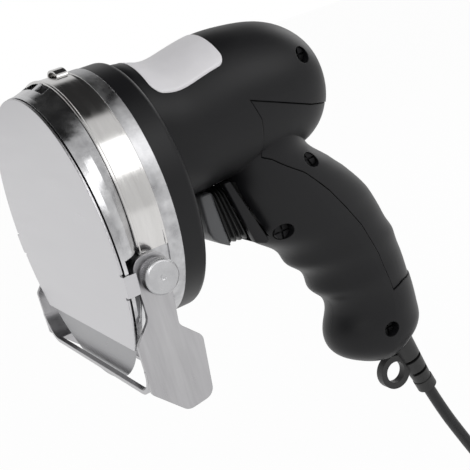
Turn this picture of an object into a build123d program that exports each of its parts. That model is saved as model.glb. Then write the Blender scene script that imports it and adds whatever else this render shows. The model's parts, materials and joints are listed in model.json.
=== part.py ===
from build123d import *
import os
from math import atan, cos, pi, radians, sin, sqrt, tan

# Handheld electric kebab slicer: round blade in front, barrel with the motor behind it,
# pistol grip below, depth bracket hung on two side knobs, mains lead out of the butt.
# Built with the head axis along Y through x=0 and z=0 and the blade facing -Y.
# At the end everything is moved so that the middle of the grip lies at the origin.

os.makedirs("parts", exist_ok=True)

# Fits and overrun
overrun = 120.0
fit_gap = 0.05
part_gap = 0.3
shoulder_gap = 0.1
seam_gap = 0.4

# Gear pair, head, blade and motor axes
gear_module = 1.0
pinion_teeth = 12
gear_teeth = 38
gear_width = 6.0
pinion_width = 8.0
pressure_angle_degrees = 20.0
tooth_backlash = 0.16
addendum_share = 0.95
dedendum_share = 1.25
blade_drop = 8.75
centre_distance = gear_module * (pinion_teeth + gear_teeth) / 2
motor_level = centre_distance - blade_drop

# Blade and its carrier
blade_radius = 50.0
blade_thickness = 1.2
blade_front = 1.3
blade_bevel_width = 3.5
blade_edge_thickness = 0.15
blade_bore_radius = 5.0
carrier_radius = 13.0
carrier_thickness = 2.0
blade_screw_count = 3
blade_screw_circle_radius = 9.0
blade_screw_radius = 1.5
blade_screw_head_radius = 2.6
blade_screw_head_height = 1.4
spindle_radius = 4.0
spindle_tail_radius = 2.5
spindle_tail_length = 7.0

# Face plate
plate_radius = 51.0
plate_thickness = 0.8
plate_chord_drop = 31.0
plate_edge_round = 0.3
tab_top = -12.5
tab_bottom = -19.7
tab_reach = 4.4
tab_thickness = 0.65
tab_stand_off = 0.5
tab_relief_height = 0.8
tab_relief_depth = 1.3

# Cover dish between face plate and band, as (y, radius, level) sections
dish_wall = 0.7
dish_front = 1.2
dish_depth = 8.2
dish_front_radius = 51.2
dish_section_shares = [
    # along, radius, drop
    (0.00, 1.000, 1.00),
    (0.25, 0.996, 0.95),
    (0.62, 0.954, 0.60),
    (1.00, 0.877, 0.00),
]
notch_top = -8.2
notch_bottom = -30.0
notch_inner = 46.3
notch_front = 2.5
hanger_notch_inner = 38.0
window_half_width = 12.0
window_front = 6.3
tongue_offset = 4.5
tongue_half_width = 1.2

# Stainless band
band_radius = 45.1
band_wall = 0.8
band_front = 9.6
band_rear = 20.3
band_end_level = -10.2
bridge_centre = 18.1
bridge_half_width = 2.1
bridge_half_span = 5.6
bridge_rise = 2.3
bridge_wall = 0.9
bridge_foot = 1.3
bridge_groove_radius = 0.25
bridge_groove_count = 3

# Cast gear head
casting_front = 12.4
casting_rear = 25.3
casting_radius = 44.8
chamber_front = 15.6
boss_front = 7.4
boss_radius = 14.5
gear_pocket_gap = 1.8
hanger_radius = 5.5
hanger_inner = 34.0
hanger_outer = 47.0

# Mounting flange
flange_rear = 34.1
flange_radius = 44.6
flange_edge_round = 2.2
flange_front_round = 0.6
flange_screw_count = 4
flange_screw_circle_radius = 39.0
flange_screw_radius = 2.0
flange_screw_head_radius = 3.4
flange_screw_head_height = 2.0

# Bearings
spindle_bearing_radius = 11.0
spindle_bearing_width = 7.0
spindle_bearing_front = 7.9
small_bearing_radius = 8.0
small_bearing_width = 5.0
tail_bearing_front = 25.4
motor_front_bearing_front = 28.6
race_thickness = 1.6
race_groove = 0.5

# Motor
shaft_radius = 2.5
shaft_front = 15.8
shaft_rear = 99.0
fan_front = 39.0
fan_width = 5.0
fan_radius = 18.0
fan_hub_radius = 6.0
fan_plate_thickness = 1.2
fan_blade_count = 9
fan_blade_thickness = 1.2
can_front = 46.5
can_length = 40.0
can_radius = 20.5
can_wall = 5.2
can_flat_half = 17.5
rotor_front = 51.5
rotor_length = 25.0
rotor_radius = 14.6
rotor_slot_count = 12
rotor_slot_width = 1.6
rotor_slot_depth = 4.0
commutator_front = 79.5
commutator_length = 6.0
commutator_radius = 7.0
commutator_bar_count = 12
commutator_groove = 0.5
brush_height = 4.0
brush_width = 3.6
end_bracket_front = 86.5
end_bracket_thickness = 7.6
end_bracket_arm_half_width = 6.0

# Housing barrel
barrel_front = 34.1
barrel_length = 80.4
barrel_level = 17.2
barrel_half_height = 26.4
barrel_half_width = 26.6
barrel_section_shares = [
    # along, top, bottom, half width
    (0.000, 0.925, 1.000, 0.970),
    (0.150, 0.875, 1.000, 0.970),
    (0.290, 0.915, 1.000, 0.985),
    (0.450, 1.000, 1.000, 1.000),
    (0.610, 1.000, 1.000, 1.000),
    (0.740, 0.960, 0.960, 0.975),
    (0.850, 0.860, 0.900, 0.900),
    (0.930, 0.690, 0.740, 0.760),
    (0.980, 0.450, 0.480, 0.510),
    (1.000, 0.240, 0.240, 0.270),
]

# Pistol grip
grip_top = 4.0
grip_height = 106.0
grip_front = 60.0
grip_depth = 70.2
grip_half_width = 21.0
grip_section_shares = [
    # down, front, back, half width
    (0.000, 0.085, 0.640, 1.000),
    (0.105, 0.030, 0.610, 0.990),
    (0.155, 0.035, 0.640, 0.970),
    (0.230, 0.060, 0.715, 0.940),
    (0.310, 0.095, 0.795, 0.910),
    (0.385, 0.155, 0.848, 0.885),
    (0.430, 0.235, 0.872, 0.870),
    (0.475, 0.285, 0.897, 0.860),
    (0.515, 0.308, 0.928, 0.855),
    (0.555, 0.368, 0.940, 0.835),
    (0.600, 0.400, 0.955, 0.830),
    (0.642, 0.408, 0.966, 0.845),
    (0.690, 0.465, 0.974, 0.830),
    (0.765, 0.480, 0.990, 0.835),
    (0.825, 0.440, 0.998, 0.860),
    (0.887, 0.450, 0.998, 0.865),
    (0.943, 0.525, 0.955, 0.800),
    (0.982, 0.610, 0.885, 0.620),
    (1.000, 0.680, 0.840, 0.400),
]

# Back panel, let into both halves: outline as shares of the grip's box seen from the side
panel_depth = 3.0
panel_inset = 0.45
panel_outline_shares = [
    # back from the grip's front, down from the grip's top
    (0.154, -0.147),
    (0.540, -0.058),
    (1.100, 0.030),
    (1.300, 0.030),
    (1.300, 0.730),
    (0.830, 0.695),
    (0.745, 0.708),
    (0.698, 0.558),
    (0.620, 0.425),
    (0.477, 0.259),
    (0.370, 0.160),
    (0.242, 0.080),
    (0.190, 0.062),
    (0.200, 0.006),
    (0.198, -0.072),
]

# Pockets in the housing
bay_front = 36.6
bay_radius = 22.3
can_bay_gap = 0.3
bay_rear = 95.5
tail_pocket_radius = 8.6
tail_pocket_rear = 101.5
shaft_hole_radius = 9.0
wire_hole_radius = 4.0

# Housing screws, as shares like the panel's outline
screw_place_shares = [
    (0.584, -0.219),
    (0.466, 0.135),
    (0.224, 0.345),
    (0.684, 0.842),
]
screw_seats = [16.8, 13.2, 10.2, 13.0]
screw_recess_radius = 3.1
screw_head_radius = 2.8
screw_head_height = 1.8
screw_radius = 1.5
screw_tip = -6.0
screw_slot_width = 0.8
screw_slot_depth = 0.9

# Bare label
label_front = 41.5
label_rear = 68.0
label_inner = -8.0
label_outer = 21.5
label_thickness = 0.25

# Trigger, boot, plunger and switch
trigger_half_width = 9.0
trigger_top = -9.7
trigger_front = 50.6
trigger_height = 22.8
trigger_outline_shares = [
    # back from the front, down from the top
    (0.000, 0.000),
    (0.230, 0.000),
    (0.262, 0.270),
    (0.385, 0.880),
    (0.340, 1.000),
    (0.085, 0.785),
    (0.025, 0.650),
    (0.065, 0.280),
]
trigger_depth = 23.0
trigger_edge_round = 1.5
trigger_travel = 4.0
boot_lean = 0.255
boot_pleat_count = 3
boot_pleat_pitch = 2.4
boot_pleat_width = 1.5
boot_half_width = 9.2
boot_core_inset = 1.5
boot_height = 22.4
boot_drop = 0.2
boot_gap = 0.5
bay_clearance = 0.6
plunger_level = -22.0
plunger_radius = 2.0
plunger_rear = 85.5
switch_front = 80.2
switch_rear = 95.0
switch_half_width = 6.5
switch_top = -16.0
switch_bottom = -31.0
terminal_top = -38.0
terminal_height = 9.0
terminal_front = 96.0
terminal_depth = 16.0
terminal_half_width = 6.0
terminal_screw_radius = 1.4

# Hinge of the depth bracket: studs, washers and knobs
hinge_y = 11.4
hinge_level = -16.4
stud_radius = 2.5
stud_inner = 36.0
washer_radius = 5.2
washer_thickness = 0.5
knob_radius = 5.9
knob_thickness = 5.2
knob_face_radius = 4.9
knob_face_depth = 0.25
knob_dimple_radius = 0.6
knob_dimple_depth = 0.4
knob_knurl_count = 40
knob_knurl_radius = 0.22
knob_cap = 1.8

# Depth bracket
sheet = 1.5
arm_outer = 48.8
bracket_top = -9.3
bracket_front = -1.4
bracket_depth = 22.2
bracket_height = 53.2
wing_outline_shares = [
    # back from the lip, down from the top, corner round
    (0.275, 0.000, 0.200),
    (0.815, 0.000, 0.200),
    (0.690, 0.475, 0.110),
    (0.985, 0.600, 0.150),
    (0.885, 0.975, 0.170),
    (0.450, 1.000, 0.180),
    (0.000, 0.810, 0.050),
    (0.010, 0.500, 0.110),
    (0.280, 0.370, 0.220),
]
strip_bottom = -54.6
strip_rear = 12.4
strip_corner = 10.0
slot_half_width = 39.0
slot_front = 0.3
slot_rear = 10.0
hinge_bore_gap = 0.3

# Strain relief with hanging eye
relief_y = 121.0
relief_level = -99.0
relief_lean_degrees = 17.9
relief_length = 26.4
relief_root = 11.0
relief_root_radius = 5.4
relief_neck_radius = 3.9
relief_collar_radius = 4.2
relief_collar_length = 4.6
relief_flange_radius = 7.0
relief_flange_thickness = 2.0
relief_slot_pitch = 3.4
relief_slot_width = 1.3
relief_slot_depth = 2.2
relief_slot_count = 5
eye_along = 9.6
eye_offset = 9.4
eye_hole_radius = 4.4
eye_radius = 7.0
eye_half_thickness = 1.8
clamp_half_width = 6.0
clamp_thickness = 3.2
clamp_height = 7.0

# Mains lead, coil, tie and plug
cord_radius = 2.5
lead_run = 14.0
floor_level = -215.0
tie_thickness = 0.8
coil_radius = 40.0
coil_pitch = 5.9
coil_rise = 5.7
coil_turns = 4
tie_half_width = 4.5
tail_side_step = 1.0
tail_straight = 12.0
tail_slope = 28.0
plug_half_height = 7.7
plug_half_width = 17.6
plug_neck_half = 5.5
plug_taper_length = 18.0
plug_length = 34.0
plug_round = 5.0
plug_pin_radius = 2.0
plug_pin_length = 19.0
plug_pin_offset = 9.3

# Middle of the grip, which becomes the origin
hold_y = 106.0
hold_level = -62.0

nodes = {}


def section_plane(y, level):
    return Plane(origin=(0, y, level), x_dir=(1, 0, 0), z_dir=(0, 1, 0))


def disc(radius, start, end, level=0):
    return extrude(section_plane(start, level) * Circle(radius), end - start)


def ring(radius, bore, start, end, level=0):
    return disc(radius, start, end, level) - disc(bore, start - part_gap, end + part_gap, level)


def block(x_low, x_high, y_low, y_high, z_low, z_high):
    size = (x_high - x_low, y_high - y_low, z_high - z_low)
    middle = ((x_low + x_high) / 2, (y_low + y_high) / 2, (z_low + z_high) / 2)
    return Pos(*middle) * Box(*size)


def side_plane(x):
    return Plane(origin=(x, 0, 0), x_dir=(0, 1, 0), z_dir=(1, 0, 0))


def side_slab(points, x_low, x_high):
    face = make_face(Polyline(*[(y, z) for y, z in points], close=True))
    return extrude(side_plane(x_low) * face, x_high - x_low)


def cross_pin(radius, x_low, x_high, y, z):
    face = side_plane(x_low) * Pos(y, z) * Circle(radius)
    return extrude(face, x_high - x_low)


def turned(points, level=0):
    face = make_face(Polyline(*points, close=True))
    return Pos(0, 0, level) * revolve(face, Axis.Y)


def both_sides(solid):
    return solid + mirror(solid, about=Plane.YZ)


# Blade and carrier
def make_blade():
    rear = blade_front + blade_thickness
    points = [
        (blade_bore_radius, blade_front),
        (blade_radius, blade_front),
        (blade_radius, blade_front + blade_edge_thickness),
        (blade_radius - blade_bevel_width, rear),
        (blade_bore_radius, rear),
    ]
    blade = turned(points, -blade_drop)
    for step in range(blade_screw_count):
        angle = 2 * pi * step / blade_screw_count
        across = blade_screw_circle_radius * sin(angle)
        level = blade_screw_circle_radius * cos(angle) - blade_drop
        blade -= Pos(across, 0, 0) * disc(blade_screw_radius, blade_front, rear, level)
    return blade


def make_spindle():
    front = blade_front + blade_thickness
    carrier_rear = front + carrier_thickness
    step_y = tail_bearing_front - shoulder_gap
    shoulder = spindle_bearing_front - shoulder_gap
    points = [
        (0, blade_front),
        (blade_bore_radius, blade_front),
        (blade_bore_radius, front),
        (carrier_radius, front),
        (carrier_radius, carrier_rear),
        (blade_bore_radius, carrier_rear),
        (blade_bore_radius, shoulder),
        (spindle_radius, shoulder),
        (spindle_radius, step_y),
        (spindle_tail_radius, step_y),
        (spindle_tail_radius, step_y + spindle_tail_length),
        (0, step_y + spindle_tail_length),
    ]
    spindle = turned(points, -blade_drop)
    for step in range(blade_screw_count):
        angle = 2 * pi * step / blade_screw_count
        across = blade_screw_circle_radius * sin(angle)
        level = blade_screw_circle_radius * cos(angle) - blade_drop
        spindle -= Pos(across, 0, 0) * disc(blade_screw_radius, front, carrier_rear, level)
    return spindle


def make_blade_screws():
    head_front = blade_front + blade_thickness + carrier_thickness
    head_rear = head_front + blade_screw_head_height
    screws = []
    for step in range(blade_screw_count):
        angle = 2 * pi * step / blade_screw_count
        across = blade_screw_circle_radius * sin(angle)
        level = blade_screw_circle_radius * cos(angle) - blade_drop
        screw = disc(blade_screw_radius - fit_gap, blade_front, head_front, level)
        screw += disc(blade_screw_head_radius, head_front, head_rear, level)
        screws.append(Pos(across, 0, 0) * screw)
    return Compound(children=screws)


# Gears
def make_gear(teeth, width, bore, turn):
    pitch_radius = gear_module * teeth / 2
    base_radius = pitch_radius * cos(radians(pressure_angle_degrees))
    tip_radius = pitch_radius + addendum_share * gear_module
    root_radius = pitch_radius - dedendum_share * gear_module
    half_tooth = (pi * gear_module / 2 - tooth_backlash) / 2 / pitch_radius
    pitch_roll = tan(radians(pressure_angle_degrees)) - radians(pressure_angle_degrees)

    def flank(radius):
        if radius <= base_radius:
            return half_tooth + pitch_roll
        slope = sqrt((radius / base_radius) ** 2 - 1)
        return half_tooth + pitch_roll - (slope - atan(slope))

    start_radius = max(base_radius, root_radius + part_gap * gear_module)
    radii = [root_radius, start_radius, (start_radius + pitch_radius) / 2, pitch_radius]
    radii += [(pitch_radius + tip_radius) / 2, tip_radius]
    points = []
    for tooth in range(teeth):
        middle = 2 * pi * tooth / teeth + turn
        for radius in radii:
            spot = middle - flank(radius)
            points.append((radius * sin(spot), radius * cos(spot)))
        for radius in reversed(radii):
            spot = middle + flank(radius)
            points.append((radius * sin(spot), radius * cos(spot)))
    face = make_face(Polyline(*points, close=True)) - Circle(bore)
    return extrude(face, width)


def place_gear(gear, start, level):
    return section_plane(start, level) * gear


# Housing envelope, smaller by the given inset
def make_barrel(inset):
    faces = []
    for along, top, bottom, width in barrel_section_shares:
        y = barrel_front + barrel_length * along
        high = barrel_level + barrel_half_height * top - inset
        low = barrel_level - barrel_half_height * bottom + inset
        half = barrel_half_width * width - inset
        faces.append(section_plane(y, (high + low) / 2) * Ellipse(half, (high - low) / 2))
    return loft(faces)


def make_grip(inset):
    faces = []
    for down, front, back, width in grip_section_shares:
        level = grip_top - grip_height * down
        y_low = grip_front + grip_depth * front + inset
        y_high = grip_front + grip_depth * back - inset
        half = grip_half_width * width - inset
        plane = Plane(origin=(0, (y_low + y_high) / 2, level), x_dir=(1, 0, 0), z_dir=(0, 0, 1))
        faces.append(plane * Ellipse(half, (y_high - y_low) / 2))
    return loft(faces)


def envelope(inset):
    return make_barrel(inset) + make_grip(inset)


def side_places(shares):
    return [(grip_front + grip_depth * back, grip_top - grip_height * down) for back, down in shares]


def trigger_points(shares):
    places = []
    for back, down in shares:
        places.append((trigger_front + trigger_depth * back, trigger_top - trigger_height * down))
    return places


# Trigger with its pleated boot and plunger
boot_front = trigger_front + trigger_depth * trigger_outline_shares[1][0]
boot_top = trigger_top - boot_drop
boot_bottom = boot_top - boot_height
boot_slope = boot_lean * boot_height


def slanted(start, width, top, bottom):
    lean_top = boot_lean * (boot_top - top)
    lean_bottom = boot_lean * (boot_top - bottom)
    return [
        (start + lean_top, top),
        (start + width + lean_top, top),
        (start + width + lean_bottom, bottom),
        (start + lean_bottom, bottom),
    ]


def make_trigger():
    body = side_slab(trigger_points(trigger_outline_shares), -trigger_half_width, trigger_half_width)
    edges = body.edges().filter_by(Axis.X, reverse=True).group_by(Axis.X)
    return fillet(edges[0] + edges[-1], trigger_edge_round)


def make_boot():
    core_half = boot_half_width - boot_core_inset
    length = boot_pleat_pitch * boot_pleat_count
    core = slanted(boot_front + part_gap, length, boot_top - boot_core_inset, boot_bottom + boot_core_inset)
    boot = side_slab(core, -core_half, core_half)
    for step in range(boot_pleat_count):
        start = boot_front + part_gap + boot_pleat_pitch * (step + 1) - boot_pleat_width
        outline = slanted(start, boot_pleat_width, boot_top, boot_bottom)
        boot += side_slab(outline, -boot_half_width, boot_half_width)
    cut = side_slab(trigger_points(trigger_outline_shares), -overrun, overrun)
    return boot - cut


# Wing outline of the bracket
def make_bracket():
    places = []
    radii = []
    for back, down, share in wing_outline_shares:
        places.append((bracket_front + bracket_depth * back, bracket_top - bracket_height * down))
        radii.append(bracket_depth * share)
    outline = make_face(FilletPolyline(*places, radius=radii, close=True))
    arm_inner = arm_outer - sheet
    wing = extrude(side_plane(arm_inner) * outline, sheet)
    wing -= cross_pin(stud_radius + hinge_bore_gap, arm_inner - sheet, arm_outer + sheet, hinge_y, hinge_level)
    strip_top = strip_bottom + bracket_height / 2
    outer = RectangleRounded(2 * arm_outer, 2 * (strip_top - strip_bottom), strip_corner)
    inner = RectangleRounded(2 * arm_inner, 2 * (strip_top - strip_bottom - sheet), strip_corner - sheet)
    strip = extrude(section_plane(bracket_front, strip_top) * (outer - inner), strip_rear - bracket_front)
    strip -= block(-overrun, overrun, -overrun, overrun, strip_bottom + strip_corner, overrun)
    strip -= block(-slot_half_width, slot_half_width, slot_front, slot_rear, -overrun, overrun)
    wings = both_sides(wing)
    return wings + strip


# Strain relief along its own axis, +Z away from the butt
relief_lean = radians(relief_lean_degrees)
relief_direction = Vector(0, sin(relief_lean), -cos(relief_lean))
relief_plane = Plane(
    origin=(0, relief_y, relief_level),
    x_dir=(1, 0, 0),
    z_dir=(0, sin(relief_lean), -cos(relief_lean)),
)
relief_end = Vector(0, relief_y, relief_level) + relief_direction * relief_length


def make_relief():
    collar_start = relief_length - relief_collar_length
    points = [
        (0, -relief_root),
        (relief_flange_radius, -relief_root),
        (relief_flange_radius, -relief_root + relief_flange_thickness),
        (relief_root_radius, -relief_root + relief_flange_thickness),
        (relief_root_radius, 0),
        (relief_neck_radius, collar_start),
        (relief_collar_radius, collar_start),
        (relief_collar_radius, relief_length),
        (0, relief_length),
    ]
    profile = make_face(Polyline(*[(r, z) for r, z in points], close=True))
    relief = revolve(Plane.XZ * profile, Axis.Z)
    slot_start = collar_start - relief_slot_pitch * relief_slot_count
    for step in range(relief_slot_count):
        height = slot_start + relief_slot_pitch * (step + 1 / 2)
        side = 1 if step % 2 else -1
        cutter = Box(overrun, overrun, relief_slot_width)
        reach = relief_neck_radius + overrun / 2 - relief_slot_depth
        relief -= Pos(side * reach, 0, height) * cutter
    eye = Rot(0, 90, 0) * Cylinder(eye_radius, 2 * eye_half_thickness)
    web = Box(2 * eye_half_thickness, eye_offset, eye_radius)
    hole = Rot(0, 90, 0) * Cylinder(eye_hole_radius, overrun)
    relief += Pos(0, eye_offset, eye_along) * eye
    relief += Pos(0, eye_offset / 2, eye_along) * web
    relief -= Pos(0, eye_offset, eye_along) * hole
    return relief_plane * relief


# Face plate with its two side tabs
def make_face_plate():
    plate = disc(plate_radius, 0, plate_thickness, -blade_drop)
    plate = fillet(plate.edges(), plate_edge_round)
    chord = -blade_drop - plate_chord_drop
    plate -= block(-overrun, overrun, -overrun, overrun, -overrun, chord)
    tab_inner = plate_radius + tab_stand_off
    tab_outer = tab_inner + tab_thickness
    tabs = ring(tab_outer, tab_inner, 0, tab_reach, -blade_drop)
    tabs += disc(tab_outer, 0, plate_thickness, -blade_drop)
    tabs &= block(-overrun, overrun, 0, overrun, tab_bottom, tab_top)
    relief_low = tab_bottom - tab_relief_height
    relief_high = tab_top + tab_relief_height
    notches = block(-overrun, overrun, -overrun, overrun, tab_top, relief_high)
    notches += block(-overrun, overrun, -overrun, overrun, relief_low, tab_bottom)
    notches -= disc(plate_radius - tab_relief_depth, -overrun, overrun, -blade_drop)
    return (plate - notches) + tabs


# Cover dish
def make_dish():
    outer = []
    inner = []
    for along, size, drop in dish_section_shares:
        y = dish_front + dish_depth * along
        level = -blade_drop * drop
        outer.append(section_plane(y, level) * Circle(dish_front_radius * size))
        inner.append(section_plane(y, level) * Circle(dish_front_radius * size - dish_wall))
    dish = loft(outer, ruled=True) - loft(inner, ruled=True)
    chord = -blade_drop - plate_chord_drop
    dish -= block(-overrun, overrun, -overrun, overrun, -overrun, chord)
    notch = block(notch_inner, overrun, notch_front, overrun, notch_bottom, notch_top)
    hanger_front = hinge_y - hanger_radius - part_gap
    hanger_low = hinge_level - hanger_radius - part_gap
    notch += block(hanger_notch_inner, overrun, hanger_front, overrun, hanger_low, notch_top)
    dish -= both_sides(notch)
    left = block(-window_half_width, tongue_offset - tongue_half_width, window_front, overrun, 0, overrun)
    right = block(tongue_offset + tongue_half_width, window_half_width, window_front, overrun, 0, overrun)
    return dish - left - right


# Band with the lanced bridge on top
def make_band():
    band = ring(band_radius, band_radius - band_wall, band_front, band_rear)
    band -= block(-overrun, overrun, -overrun, overrun, -overrun, band_end_level)
    y_low = bridge_centre - bridge_half_width
    y_high = bridge_centre + bridge_half_width
    root = band_radius - band_wall
    top = band_radius + bridge_rise
    bridge = disc(top, y_low, y_high)
    bridge &= block(-bridge_half_span, bridge_half_span, y_low, y_high, root, top)
    bridge = fillet(bridge.edges().filter_by(Axis.Y).group_by(Axis.Z)[-1], bridge_foot)
    inner = bridge_half_span - bridge_foot
    bridge -= block(-inner, inner, -overrun, overrun, root, top - bridge_wall)
    for step in range(bridge_groove_count):
        y = y_low + (y_high - y_low) * (step + 1) / (bridge_groove_count + 1)
        bridge -= cross_pin(bridge_groove_radius, -overrun, overrun, y, top)
    slot = block(-inner, inner, y_low, y_high, root - band_wall, top)
    return (band - slot) + bridge


# Cast head with chamber and two hangers for the bracket
def make_casting():
    front_radius = band_radius - band_wall
    casting = disc(front_radius, casting_front, band_rear)
    casting += disc(casting_radius, band_rear, casting_rear)
    casting += disc(boss_radius, boss_front, casting_front, -blade_drop)
    hanger = cross_pin(hanger_radius, hanger_inner, hanger_outer, hinge_y, hinge_level)
    casting += both_sides(hanger)
    gear_room = gear_module * (gear_teeth / 2 + 1) + gear_pocket_gap
    pinion_room = gear_module * (pinion_teeth / 2 + 1) + gear_pocket_gap
    casting -= disc(gear_room, chamber_front, overrun, -blade_drop)
    casting -= disc(pinion_room, chamber_front, overrun, motor_level)
    low = motor_level - pinion_room
    casting -= block(-pinion_room, pinion_room, chamber_front, overrun, low, motor_level)
    casting -= disc(spindle_bearing_radius, spindle_bearing_front, chamber_front, -blade_drop)
    opening = spindle_bearing_radius - race_thickness
    casting -= disc(opening, -overrun, overrun, -blade_drop)
    stud = cross_pin(stud_radius, stud_inner, overrun, hinge_y, hinge_level)
    return casting - both_sides(stud)


# Black flange with bearing seats
def make_flange():
    flange = disc(flange_radius, casting_rear, flange_rear)
    flange = fillet(flange.edges().filter_by(GeomType.CIRCLE).group_by(Axis.Y)[-1], flange_edge_round)
    tail_rear = tail_bearing_front + small_bearing_width
    flange -= disc(small_bearing_radius, casting_rear - part_gap, tail_rear, -blade_drop)
    tail_free = spindle_tail_radius + race_thickness
    tail_end = tail_bearing_front + spindle_tail_length + part_gap
    flange -= disc(tail_free, casting_rear, tail_end, -blade_drop)
    bearing_rear = motor_front_bearing_front + small_bearing_width
    flange -= disc(small_bearing_radius, motor_front_bearing_front, bearing_rear, motor_level)
    free = small_bearing_radius - race_thickness
    flange -= disc(free, -overrun, overrun, motor_level)
    for x, z in flange_screw_places():
        head_front = flange_rear - flange_screw_head_height
        flange -= Pos(x, 0, 0) * disc(flange_screw_head_radius + fit_gap, head_front, overrun, z)
        flange -= Pos(x, 0, 0) * disc(flange_screw_radius, casting_rear, flange_rear, z)
    return flange


def flange_screw_places():
    places = []
    for step in range(flange_screw_count):
        angle = 2 * pi * (step + 1 / 2) / flange_screw_count
        places.append((flange_screw_circle_radius * sin(angle), flange_screw_circle_radius * cos(angle)))
    return places


def make_flange_screws():
    screws = []
    for x, z in flange_screw_places():
        head_front = flange_rear - flange_screw_head_height
        screw = disc(flange_screw_radius - fit_gap, casting_rear + fit_gap, head_front, z)
        screw += disc(flange_screw_head_radius, head_front, flange_rear, z)
        screws.append(Pos(x, 0, 0) * screw)
    return Compound(children=screws)


# Bearing ring pair as one turned body with a groove on both faces
def make_bearing(outer_radius, bore_radius, start, width, level):
    bore_radius += fit_gap
    bearing = ring(outer_radius, bore_radius, start, start + width, level)
    groove = disc(outer_radius - race_thickness, start - part_gap, start + race_groove, level)
    groove += disc(outer_radius - race_thickness, start + width - race_groove, start + width + part_gap, level)
    groove -= disc(bore_radius + race_thickness, -overrun, overrun, level)
    return bearing - groove


# Motor
def make_shaft():
    return disc(shaft_radius, shaft_front, shaft_rear, motor_level)


def make_fan():
    fan = disc(fan_hub_radius, fan_front, fan_front + fan_width, motor_level)
    fan += disc(fan_radius, fan_front, fan_front + fan_plate_thickness, motor_level)
    half = fan_blade_thickness / 2
    blade = block(-half, half, fan_front, fan_front + fan_width, fan_hub_radius / 2, fan_radius)
    blade -= disc(overrun, -overrun, fan_front)
    for step in range(fan_blade_count):
        turn = Pos(0, 0, motor_level) * Rot(0, 360 * step / fan_blade_count, 0)
        fan += turn * blade
    return fan - disc(shaft_radius, -overrun, overrun, motor_level)


def make_can():
    can = disc(can_radius, can_front, can_front + can_length, motor_level)
    flats = block(-can_flat_half, can_flat_half, -overrun, overrun, -overrun, overrun)
    can &= flats
    return can - disc(can_radius - can_wall, -overrun, overrun, motor_level)


def make_rotor():
    rotor = disc(rotor_radius, rotor_front, rotor_front + rotor_length, motor_level)
    half = rotor_slot_width / 2
    slot = block(-half, half, -overrun, overrun, rotor_radius - rotor_slot_depth, overrun)
    for step in range(rotor_slot_count):
        rotor -= Pos(0, 0, motor_level) * Rot(0, 360 * step / rotor_slot_count, 0) * slot
    return rotor - disc(shaft_radius, -overrun, overrun, motor_level)


def make_commutator():
    rear = commutator_front + commutator_length
    bars = disc(commutator_radius, commutator_front, rear, motor_level)
    half = commutator_groove / 2
    groove = block(-half, half, -overrun, overrun, commutator_radius - commutator_groove, overrun)
    for step in range(commutator_bar_count):
        bars -= Pos(0, 0, motor_level) * Rot(0, 360 * step / commutator_bar_count, 0) * groove
    return bars - disc(shaft_radius, -overrun, overrun, motor_level)


def make_brushes():
    start = commutator_radius + part_gap
    y_low = commutator_front + (commutator_length - brush_width) / 2
    half = brush_height / 2
    brush = block(start, overrun, y_low, y_low + brush_width, motor_level - half, motor_level + half)
    brush &= disc(can_radius - can_wall, can_front, can_front + can_length, motor_level)
    return both_sides(brush)


def make_end_bracket():
    rear = end_bracket_front + end_bracket_thickness
    bracket = disc(small_bearing_radius + race_thickness, end_bracket_front, rear, motor_level)
    half = end_bracket_arm_half_width
    low = motor_level - half
    high = motor_level + half
    arm_half = can_radius
    bracket += block(-arm_half, arm_half, end_bracket_front, end_bracket_front + race_thickness, low, high)
    bracket &= disc(can_radius - fit_gap, end_bracket_front, rear, motor_level)
    bracket -= disc(small_bearing_radius, end_bracket_front + race_thickness, overrun, motor_level)
    free = shaft_radius + race_thickness
    return bracket - disc(free, -overrun, overrun, motor_level)


# Knob, washer and stud
def make_stud():
    tip = arm_outer + washer_thickness + knob_thickness - knob_cap
    return cross_pin(stud_radius, stud_inner, tip, hinge_y, hinge_level)


def make_washer():
    washer = cross_pin(washer_radius, arm_outer, arm_outer + washer_thickness, hinge_y, hinge_level)
    return washer - cross_pin(stud_radius + fit_gap, 0, overrun, hinge_y, hinge_level)


def make_knob():
    start = arm_outer + washer_thickness + shoulder_gap
    end = start + knob_thickness
    knob = cross_pin(knob_radius, start, end, hinge_y, hinge_level)
    knob -= cross_pin(knob_face_radius, end - knob_face_depth, overrun, hinge_y, hinge_level)
    dimple_start = end - knob_dimple_depth - knob_face_depth
    knob -= cross_pin(knob_dimple_radius, dimple_start, overrun, hinge_y, hinge_level)
    for step in range(knob_knurl_count):
        angle = 2 * pi * step / knob_knurl_count
        y = hinge_y + knob_radius * cos(angle)
        z = hinge_level + knob_radius * sin(angle)
        knob -= cross_pin(knob_knurl_radius, start - part_gap, end + part_gap, y, z)
    bore_end = end - knob_cap + fit_gap
    return knob - cross_pin(stud_radius + fit_gap, 0, bore_end, hinge_y, hinge_level)


# Housing halves, panel, label and screws
def make_housing():
    whole = envelope(0)
    core = envelope(panel_depth + seam_gap)
    skin = envelope(panel_inset) - envelope(panel_depth)
    outline = side_places(panel_outline_shares)
    window = side_slab(outline, -overrun, overrun)
    shell = whole - (window - core)
    seam = offset(make_face(Polyline(*outline, close=True)), -seam_gap)
    panel = skin & extrude(side_plane(-overrun) * seam, 2 * overrun)
    for room in (motor_bay(), trigger_bay(), wire_way(), relief_pocket(), screw_recesses()):
        shell -= room
        panel -= room
    left = shell - block(-overrun, 0, -overrun, 2 * overrun, -2 * overrun, overrun)
    right = shell - block(0, overrun, -overrun, 2 * overrun, -2 * overrun, overrun)
    return left, right, panel


def motor_bay():
    bay = disc(bay_radius, bay_front, can_front - part_gap, motor_level)
    bay += disc(can_radius + can_bay_gap, bay_front, bay_rear, motor_level)
    bay += disc(tail_pocket_radius, bay_rear, tail_pocket_rear, motor_level)
    return bay + disc(shaft_hole_radius, barrel_front - part_gap, bay_front, motor_level)


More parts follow.
